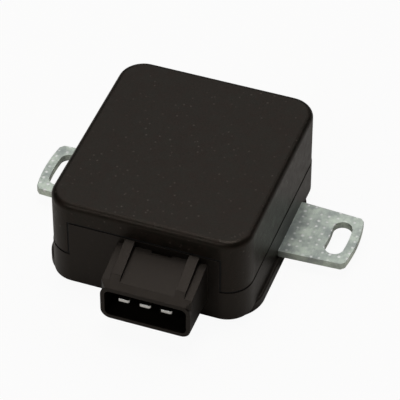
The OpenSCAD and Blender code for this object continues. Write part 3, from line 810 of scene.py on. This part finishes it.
@dataclass
class Fasteners:
    """Screws with a cross recess and a thread, and rivets with domed heads.

    Args:
        paint: Gives the materials.
        sides: Number of sides that stand for a round.
        dome: Height of a head's dome, as a share of the head's height.
        thread_pitch: Distance from one turn of the thread to the next.
        thread_depth: Depth of the thread.
        root_above: Where a root starts above a turn's middle, as a share of the pitch.
        root_below: Where a root ends below a turn's middle, as a share of the pitch.
        tip_share: Radius of a screw's tip, as a share of the thread's core.
        recess_reach: Reach of the cross recess, as a share of the head's radius.
        recess_half: Half of an arm's width, as a share of the head's radius.
        recess_depth: Depth of the recess, as a share of the head's height.
        recess_taper: Size of the recess's floor, as a share of its outline.
        first_turn: How far the first fastener is screwed round, in radians.
        turn_step: How much further each next one is, in radians.
    """

    paint: Paintwork
    sides: int = 40
    dome: float = 0.16
    thread_pitch: float = 1.1 * MM
    thread_depth: float = 0.22 * MM
    root_above: float = 0.25
    root_below: float = 0.2
    tip_share: float = 0.6
    recess_reach: float = 0.58
    recess_half: float = 0.13
    recess_depth: float = 0.62
    recess_taper: float = 0.62
    first_turn: float = 0.3
    turn_step: float = 0.7

    # Shares of the head's radius and of the dome's height, from the top down its side.
    HEAD_EDGE = ((0.82, 0.0), (0.95, 0.5), (1.0, 1.6))
    # The same for the far head of a rivet, up to its middle.
    TAIL_EDGE = ((1.0, 1.6), (0.9, 0.4), (0.5, 0.0), (0.0, 0.0))
    # Cosine and sine of the quarter turns.
    QUARTERS = ((1, 0), (0, 1), (-1, 0), (0, -1))
    # Vertices nearer than this are one.
    WELD = 0.001 * MM

    def centres(self, node: str) -> list[Vector]:
        """Finds where each loose solid of a CAD node stands.

        Args:
            node: The CAD node.

        Returns:
            The middle of each solid's foot.
        """
        mesh = bmesh.new()
        mesh.from_mesh(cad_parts[node].data)
        bmesh.ops.remove_doubles(mesh, verts=mesh.verts, dist=self.WELD)
        left = set(mesh.verts)
        found = []
        while left:
            shell = [left.pop()]
            for vert in shell:
                for edge in vert.link_edges:
                    other = edge.other_vert(vert)
                    if other in left:
                        left.discard(other)
                        shell.append(other)
            low = [min(v.co[k] for v in shell) for k in range(3)]
            high = [max(v.co[k] for v in shell) for k in range(3)]
            found.append(Vector(((low[0] + high[0]) / 2, (low[1] + high[1]) / 2, low[2])))
        mesh.free()
        return sorted(found, key=lambda foot: (round(foot.x, 5), round(foot.y, 5)))

    def profile(self, kind: Fastener) -> list[tuple[float, float]]:
        """Gives radius and distance from the head's top, from the rim to the far end.

        Args:
            kind: The fastener.

        Returns:
            The points.
        """
        dome = self.dome * kind.head_h
        points = [(kind.head_r * out, dome * down) for out, down in self.HEAD_EDGE]
        points += [(kind.head_r, kind.head_h), (kind.shank_r, kind.head_h)]
        if kind.second_head:
            shoulder = kind.length - kind.head_h
            points += [(kind.shank_r, shoulder), (kind.head_r, shoulder)]
            for out, down in self.TAIL_EDGE:
                points.append((kind.head_r * out, kind.length - dome * down))
            return points
        core = kind.shank_r - self.thread_depth
        turns = int((kind.length - kind.head_h - core) / self.thread_pitch)
        for turn in range(1, turns):
            middle = kind.head_h + (turn + 0.5) * self.thread_pitch
            points.append((kind.shank_r, middle - self.thread_pitch * 0.5))
            points.append((core, middle - self.thread_pitch * self.root_above))
            points.append((core, middle + self.thread_pitch * self.root_below))
        points.append((kind.shank_r, kind.length - core))
        points.append((core * self.tip_share, kind.length))
        points.append((0.0, kind.length))
        return points

    def cross(self, radius: float) -> list[tuple[float, float]]:
        """Gives the outline of the cross recess, anticlockwise.

        Args:
            radius: Radius of the head.

        Returns:
            The points.
        """
        arm = radius * self.recess_reach
        half = radius * self.recess_half
        quarter = [(arm, -half), (arm, half), (half, half)]
        points = []
        for cos, sin in self.QUARTERS:
            points += [(x * cos - y * sin, x * sin + y * cos) for x, y in quarter]
        return points

    def add_recessed_top(
        self, mesh: bmesh.types.BMesh, rim: list, recess: list, depth: float
    ) -> None:
        """Fills the head's top around the recess, and builds the recess.

        Args:
            mesh: The mesh.
            rim: The vertices of the head's inner rim.
            recess: The vertices of the recess's outline.
            depth: Signed depth of the recess along Z.
        """
        loops = []
        for ring in (rim, recess):
            for pair in zip(ring, ring[1:] + ring[:1]):
                loops.append(mesh.edges.get(pair) or mesh.edges.new(pair))
        bmesh.ops.triangle_fill(mesh, edges=loops, use_beauty=True)
        middle = sum((v.co for v in recess), Vector()) / len(recess)
        floor = []
        for vert in recess:
            flat = middle + (vert.co - middle) * self.recess_taper
            floor.append(mesh.verts.new(flat + Vector((0.0, 0.0, depth))))
        for k, vert in enumerate(recess):
            after = (k + 1) % len(recess)
            mesh.faces.new((vert, recess[after], floor[after], floor[k]))
        mesh.faces.new(floor)

    def add(self, mesh: bmesh.types.BMesh, kind: Fastener, foot: Vector, turn: float) -> None:
        """Adds one fastener to a mesh.

        Args:
            mesh: The mesh.
            kind: The fastener.
            foot: The middle of its lower end.
            turn: How far it is screwed round, in radians.
        """
        sign = -1.0 if kind.up else 1.0
        top = foot.z + (kind.length if kind.up else 0.0)
        rings = []
        for radius, away in self.profile(kind):
            z = top + sign * away
            if radius == 0.0:
                rings.append([mesh.verts.new((foot.x, foot.y, z))])
                continue
            ring = []
            for k in range(self.sides):
                angle = 2 * math.pi * k / self.sides + turn
                ring.append(mesh.verts.new((
                    foot.x + radius * math.cos(angle), foot.y + radius * math.sin(angle), z
                )))
            rings.append(ring)
        for above, below in zip(rings, rings[1:]):
            for k in range(self.sides):
                after = (k + 1) % self.sides
                if len(below) == 1:
                    mesh.faces.new((above[k], above[after], below[0]))
                else:
                    mesh.faces.new((above[k], above[after], below[after], below[k]))
        if kind.second_head:
            mesh.faces.new(rings[0])
            return
        cos = math.cos(turn)
        sin = math.sin(turn)
        recess = []
        for x, y in self.cross(kind.head_r):
            recess.append(mesh.verts.new((
                foot.x + x * cos - y * sin, foot.y + x * sin + y * cos, top
            )))
        depth = sign * kind.head_h * self.recess_depth
        self.add_recessed_top(mesh, rings[0], recess, depth)

    def build(self) -> None:
        """Builds each kind as one piece that replaces its CAD node."""
        made = self.paint.material(SCREW_STEEL)
        for kind in (BASE_SCREW, BOARD_SCREW, BAR_RIVET):
            mesh = bmesh.new()
            for count, foot in enumerate(self.centres(kind.node)):
                self.add(mesh, kind, foot, self.turn_step * count + self.first_turn)
            piece = piece_from(f"{kind.node}_detailed", mesh, made, Body.CASE)
            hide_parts(kind.node)


@dataclass
class Connector:
    """The three blades."""

    paint: Paintwork

    def build(self) -> None:
        """Dresses the blades and their joints."""
        self.paint.dress(TINNED_BLADE, "terminal_left", "terminal_middle", "terminal_right")
        self.paint.dress(SOLDER, "solder_joints")


@dataclass
class RotorSet:
    """The rotor with what it carries and what carries it."""

    paint: Paintwork

    def build(self) -> None:
        """Dresses the rotor's pieces."""
        self.paint.dress(ROTOR_PLASTIC, "rotor")
        self.paint.dress(CONTACT_BRASS, "wiper", "wiper_rivets")
        self.paint.dress(SCREW_STEEL, "circlip", "thrust_washer")
        self.paint.dress(BUSH_BRONZE, "rotor_bush")
        self.paint.dress(SEAL_RUBBER, "shaft_seal")


@dataclass
class TrackBoard:
    """The ceramic board with its printed tracks."""

    paint: Paintwork

    def build(self) -> None:
        """Dresses the board."""
        self.paint.dress(BOARD_CERAMIC, "track_board")
        self.paint.dress(TRACK_INK, "resistive_track")
        self.paint.dress(SILVER_PRINT, "collector_track", "conductor_prints")


@dataclass(frozen=True)
class Lamp:
    """One soft square lamp that faces the sensor.

    Args:
        name: Lamp name.
        place: Where it stands, in metres.
        size: Length of its side, in metres.
        power: Power in watts.
    """

    name: str
    place: tuple[float, float, float]
    size: float
    power: float


@dataclass
class Studio:
    """Floor, lamps, world and camera.

    Args:
        azimuth_deg: Camera's turn to the right of the connector's side.
        elevation_deg: Camera's angle above the floor.
        focal_px: Focal length in pixels.
        image_px: Width of the image in pixels.
        distance: Distance from the camera to the target.
        target: Point that the camera is aimed by.
        centre_px: Where the target lies in the image, from its upper left corner.
        sensor_mm: Width of the camera's sensor.
        clip: Nearest and furthest distance that the camera sees.
        floor_half: Half of the floor's side.
        floor_drop: How far the floor lies below the sensor.
        floor_colour: Linear colour of the floor in the lamps' light.
        floor_rough: Roughness of the floor.
        floor_glow: Share of plain white in what the camera sees of the floor.
        sky_colour: Linear colour of the world.
        sky_strength: Strength of the world.
        lamps: The soft lamps.
    """

    azimuth_deg: float = 19.98
    elevation_deg: float = 43.03
    focal_px: float = 2649.1
    image_px: float = 400.0
    distance: float = 614.54 * MM
    target: tuple[float, float, float] = (-1.5 * MM, -5.75 * MM, 8.0 * MM)
    centre_px: tuple[float, float] = (184.71, 206.55)
    sensor_mm: float = 36.0
    clip: Range = (0.01, 50.0)
    floor_half: float = 6.0
    floor_drop: float = 0.02 * MM
    floor_colour: Colour = (0.8, 0.765, 0.72)
    floor_rough: float = 0.9
    floor_glow: float = 0.94
    sky_colour: Colour = (0.9, 0.93, 1.0)
    sky_strength: float = 0.05
    lamps: tuple[Lamp, ...] = (
        Lamp("back", (-0.22, 0.52, 0.74), 0.7, 1.5),
        Lamp("side", (0.35, 0.5, 0.7), 0.3, 0.6),
        Lamp("top", (0.0, 0.05, 1.0), 0.35, 2.8),
        Lamp("front", (-0.2, -0.55, 0.5), 0.3, 0.8),
    )

    def axes(self) -> tuple[Vector, Vector, Vector]:
        """Works out how the camera is turned.

        Returns:
            Its right, up and back directions.
        """
        turn = math.radians(self.azimuth_deg)
        rise = math.radians(self.elevation_deg)
        level = math.cos(rise)
        back = Vector((math.sin(turn) * level, -math.cos(turn) * level, math.sin(rise)))
        right = Vector((math.cos(turn), math.sin(turn), 0.0))
        return right, back.cross(right), back

    def build_camera(self) -> None:
        """Makes the camera, which looks down on the connector's side."""
        right, up, back = self.axes()
        data = bpy.data.cameras.new("camera")
        data.sensor_width = self.sensor_mm
        data.lens = self.focal_px / self.image_px * self.sensor_mm
        data.clip_start, data.clip_end = self.clip
        camera = bpy.data.objects.new("camera", data)
        bpy.context.scene.collection.objects.link(camera)
        half = self.image_px / 2
        per_px = self.distance / self.focal_px
        across = (self.centre_px[0] - half) * per_px
        upward = (half - self.centre_px[1]) * per_px
        place = Vector(self.target) + back * self.distance - right * across - up * upward
        turn = Matrix((right, up, back)).transposed().to_4x4()
        camera.matrix_world = Matrix.Translation(place) @ turn
        bpy.context.scene.camera = camera

    def build_floor(self) -> None:
        """Makes the pale floor, which keeps the sensor's soft shadow."""
        mesh = bmesh.new()
        bmesh.ops.create_grid(mesh, x_segments=1, y_segments=1, size=self.floor_half)
        data = bpy.data.meshes.new("floor")
        mesh.to_mesh(data)
        mesh.free()
        floor = bpy.data.objects.new("floor", data)
        floor.location.z = -self.floor_drop
        bpy.context.scene.collection.objects.link(floor)
        made = bpy.data.materials.new("floor_paper")
        made.use_nodes = True
        graph = NodeGraph(made.node_tree)
        shader = made.node_tree.nodes["Principled BSDF"]
        shader.inputs["Base Color"].default_value = (*self.floor_colour, 1.0)
        shader.inputs["Roughness"].default_value = self.floor_rough
        glow = graph.add("ShaderNodeEmission")
        glow.inputs["Strength"].default_value = 1.0
        rays = graph.add("ShaderNodeLightPath")
        seen = graph.math(
            "MAXIMUM", rays.outputs["Is Camera Ray"], rays.outputs["Is Transmission Ray"]
        )
        mixed = graph.mix_shader(graph.scaled(seen, self.floor_glow), shader, glow)
        graph.link(mixed, made.node_tree.nodes["Material Output"].inputs["Surface"])
        data.materials.append(made)

    def build_lamps(self) -> None:
        """Makes the soft lamps."""
        for lamp in self.lamps:
            data = bpy.data.lights.new(lamp.name, "AREA")
            data.size = lamp.size
            data.energy = lamp.power
            stand = bpy.data.objects.new(lamp.name, data)
            stand.location = lamp.place
            aim = (-Vector(lamp.place)).to_track_quat("-Z", "Y")
            stand.rotation_euler = aim.to_euler()
            bpy.context.scene.collection.objects.link(stand)

    def build_world(self) -> None:
        """Makes the plain world, white where the camera sees it."""
        world = bpy.data.worlds.new("studio")
        bpy.context.scene.world = world
        world.use_nodes = True
        graph = NodeGraph(world.node_tree)
        base = world.node_tree.nodes["Background"]
        base.inputs["Color"].default_value = (*self.sky_colour, 1.0)
        base.inputs["Strength"].default_value = self.sky_strength
        white = graph.add("ShaderNodeBackground")
        white.inputs["Color"].default_value = (1.0, 1.0, 1.0, 1.0)
        rays = graph.add("ShaderNodeLightPath")
        mixed = graph.mix_shader(rays.outputs["Is Camera Ray"], base, white)
        graph.link(mixed, world.node_tree.nodes["World Output"].inputs["Surface"])

    def build(self) -> None:
        """Makes the whole studio."""
        bpy.context.scene.view_settings.view_transform = "Standard"
        self.build_world()
        self.build_floor()
        self.build_lamps()
        self.build_camera()
        log.info("built the studio")


def main() -> None:
    """Builds every sub-assembly in order."""
    logging.basicConfig(level=logging.INFO, format="%(name)s: %(message)s")
    paint = Paintwork(SurfaceGroups())
    for assembly in (Case, MountingBar, Fasteners, Connector, RotorSet, TrackBoard):
        assembly(paint).build()
    Studio().build()


if __name__ == "__main__":
    main()
